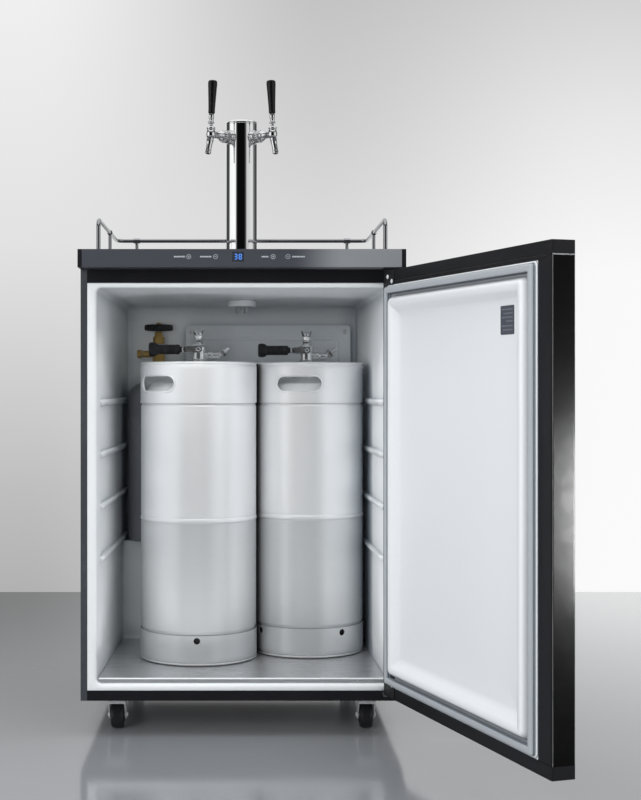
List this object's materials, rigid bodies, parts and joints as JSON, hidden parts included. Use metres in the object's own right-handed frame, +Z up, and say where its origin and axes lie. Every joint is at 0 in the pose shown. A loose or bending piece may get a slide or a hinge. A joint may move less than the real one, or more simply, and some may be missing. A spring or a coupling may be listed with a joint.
{
  "type": "two-tap kegerator",
  "caption": "Undercounter draught beer cabinet on casters with tap tower, guard rail, hinged door, slim kegs, couplers and gas cylinder.",
  "frame": {"origin": "on the floor under the middle of the cabinet", "axes": "+Z up, -Y towards the door side, +X to the hinge side"},
  "size_m": [0.7791, 1.1918, 1.2822],
  "materials": {
    "cabinet_paint": "satin charcoal baked enamel",
    "dark_steel": "matt dark coated sheet steel",
    "liner_plastic": "vacuum-formed white plastic, soft gloss",
    "white_enamel": "white coated aluminium plate",
    "foam": "rigid foam",
    "black_trim": "moulded black plastic, fine texture",
    "fascia_face": "satin slate grey",
    "display_lens": "dark smoked lens with lit digits",
    "circuit_board": "solder-masked board",
    "rail_chrome": "bright chrome rod",
    "tower_chrome": "mirror polished column",
    "tap_chrome": "bright chrome",
    "tube_steel": "drawn stainless steel",
    "white_plastic": "moulded white",
    "tray_steel": "brushed stainless sheet",
    "compressor_paint": "black enamel",
    "keg_steel": "satin spun stainless steel",
    "coupler_chrome": "worn chrome plate",
    "cylinder_paint": "dark grey paint",
    "valve_brass": "dull machined brass",
    "black_steel": "black powder coat",
    "zinc_plate": "bright zinc plate",
    "door_gloss": "high-gloss black",
    "gasket_rubber": "soft white seal",
    "handle_black": "semi-gloss moulded black",
    "grip_black": "moulded black grip",
    "wheel_black": "moulded black",
    "caster_black": "hard black tread"
  },
  "bodies": {
    "cabinet": {"side_panels": "cabinet_paint", "rear_panel": "cabinet_paint", "worktop": "cabinet_paint", "base_pan": "dark_steel", "rear_cover": "dark_steel", "inner_liner": "liner_plastic", "evaporator_plate": "white_enamel", "cabinet_foam": "foam", "front_rails": "black_trim", "control_fascia": "fascia_face", "fascia_end_caps": "black_trim", "display_window": "display_lens", "control_board": "circuit_board", "guard_rail": "rail_chrome", "rail_posts": "rail_chrome", "tower_column": "tower_chrome", "tower_cap": "tower_chrome", "tower_flange": "tower_chrome", "beer_tubes": "tube_steel", "tap_shanks": "tap_chrome", "faucet_bodies": "tap_chrome", "hose_grommet": "white_plastic", "floor_tray": "tray_steel", "drip_tray": "tray_steel", "drip_grille": "tray_steel", "compressor": "compressor_paint", "keg_left": "keg_steel", "keg_right": "keg_steel", "keg_valves": "tube_steel", "coupler_bodies": "coupler_chrome", "gas_cylinder": "cylinder_paint", "gas_valve": "valve_brass", "regulator": "valve_brass", "hinge_brackets": "black_steel", "caster_plates": "zinc_plate"},
    "door": {"door_shell": "door_gloss", "door_liner": "liner_plastic", "door_gasket": "gasket_rubber", "door_end_caps": "black_trim", "door_foam": "foam"},
    "tap_left": {"tap_lever_left": "tap_chrome", "tap_handle_left": "handle_black"},
    "tap_right": {"tap_lever_right": "tap_chrome", "tap_handle_right": "handle_black"},
    "valve_shaft_left": {"faucet_shaft_left": "tube_steel"},
    "valve_shaft_right": {"faucet_shaft_right": "tube_steel"},
    "swivel_front_left": {"caster_fork_front_left": "zinc_plate"},
    "swivel_front_right": {"caster_fork_front_right": "zinc_plate"},
    "swivel_rear_left": {"caster_fork_rear_left": "zinc_plate"},
    "swivel_rear_right": {"caster_fork_rear_right": "zinc_plate"},
    "wheel_front_left": {"caster_wheel_front_left": "caster_black"},
    "wheel_front_right": {"caster_wheel_front_right": "caster_black"},
    "wheel_rear_left": {"caster_wheel_rear_left": "caster_black"},
    "wheel_rear_right": {"caster_wheel_rear_right": "caster_black"},
    "grip_left": {"coupler_grip_left": "grip_black"},
    "grip_right": {"coupler_grip_right": "grip_black"},
    "probe_left": {"coupler_probe_left": "coupler_chrome"},
    "probe_right": {"coupler_probe_right": "coupler_chrome"},
    "handwheel": {"cylinder_handwheel": "wheel_black"},
    "pressure_knob": {"regulator_knob": "wheel_black"}
  },
  "joints": [
    {"name": "door_swing", "type": "hinge", "parent": "cabinet", "child": "door", "pos_m": [0.29, -0.306, 0.47], "axis": [0, 0, 1], "range_deg": [-107.8, 8]},
    {"name": "tap_left_pull", "type": "hinge", "parent": "cabinet", "child": "tap_left", "pos_m": [-0.06364, 0.02036, 1.1826], "axis": [0.7071, -0.7071, 0], "range_deg": [0, 28]},
    {"name": "valve_left_slide", "type": "slide", "parent": "cabinet", "child": "valve_shaft_left", "axis": [0.7071, 0.7071, 0], "range_m": [0, 0.006]},
    {"name": "tap_right_pull", "type": "hinge", "parent": "cabinet", "child": "tap_right", "pos_m": [0.06364, 0.02036, 1.1826], "axis": [0.7071, 0.7071, 0], "range_deg": [0, 28]},
    {"name": "valve_right_slide", "type": "slide", "parent": "cabinet", "child": "valve_shaft_right", "axis": [-0.7071, 0.7071, 0], "range_m": [0, 0.006]},
    {"name": "caster_front_left_swivel", "type": "hinge", "parent": "cabinet", "child": "swivel_front_left", "pos_m": [-0.236, -0.216, 0.055], "axis": [0, 0, 1], "continuous": true},
    {"name": "caster_front_left_roll", "type": "hinge", "parent": "swivel_front_left", "child": "wheel_front_left", "pos_m": [-0.236, -0.2, 0.025], "axis": [1, 0, 0], "continuous": true},
    {"name": "caster_front_right_swivel", "type": "hinge", "parent": "cabinet", "child": "swivel_front_right", "pos_m": [0.236, -0.216, 0.055], "axis": [0, 0, 1], "continuous": true},
    {"name": "caster_front_right_roll", "type": "hinge", "parent": "swivel_front_right", "child": "wheel_front_right", "pos_m": [0.236, -0.2, 0.025], "axis": [1, 0, 0], "continuous": true},
    {"name": "caster_rear_left_swivel", "type": "hinge", "parent": "cabinet", "child": "swivel_rear_left", "pos_m": [-0.236, 0.266, 0.055], "axis": [0, 0, 1], "continuous": true},
    {"name": "caster_rear_left_roll", "type": "hinge", "parent": "swivel_rear_left", "child": "wheel_rear_left", "pos_m": [-0.236, 0.282, 0.025], "axis": [1, 0, 0], "continuous": true},
    {"name": "caster_rear_right_swivel", "type": "hinge", "parent": "cabinet", "child": "swivel_rear_right", "pos_m": [0.236, 0.266, 0.055], "axis": [0, 0, 1], "continuous": true},
    {"name": "caster_rear_right_roll", "type": "hinge", "parent": "swivel_rear_right", "child": "wheel_rear_right", "pos_m": [0.236, 0.282, 0.025], "axis": [1, 0, 0], "continuous": true},
    {"name": "coupler_left_lift", "type": "hinge", "parent": "cabinet", "child": "grip_left", "pos_m": [-0.0875, -0.032, 0.725], "axis": [0, 1, 0], "range_deg": [0, 60]},
    {"name": "probe_left_slide", "type": "slide", "parent": "cabinet", "child": "probe_left", "axis": [0, 0, 1], "range_m": [0, 0.016]},
    {"name": "coupler_right_lift", "type": "hinge", "parent": "cabinet", "child": "grip_right", "pos_m": [0.1345, 0.048, 0.725], "axis": [0, 1, 0], "range_deg": [0, 60]},
    {"name": "probe_right_slide", "type": "slide", "parent": "cabinet", "child": "probe_right", "axis": [0, 0, 1], "range_m": [0, 0.016]},
    {"name": "gas_valve_turn", "type": "hinge", "parent": "cabinet", "child": "handwheel", "pos_m": [-0.182, 0.201, 0.778], "axis": [0, 0, 1], "range_deg": [0, 540]},
    {"name": "pressure_turn", "type": "hinge", "parent": "cabinet", "child": "pressure_knob", "pos_m": [-0.122, 0.177, 0.684], "axis": [0, -1, 0], "range_deg": [0, 540]}
  ],
  "couplings": [
    {"joint": "valve_left_slide", "follows": "tap_left_pull", "m_per_rad": 0.012},
    {"joint": "valve_right_slide", "follows": "tap_right_pull", "m_per_rad": 0.012},
    {"joint": "probe_left_slide", "follows": "coupler_left_lift", "m_per_rad": 0.015},
    {"joint": "probe_right_slide", "follows": "coupler_right_lift", "m_per_rad": 0.015}
  ]
}
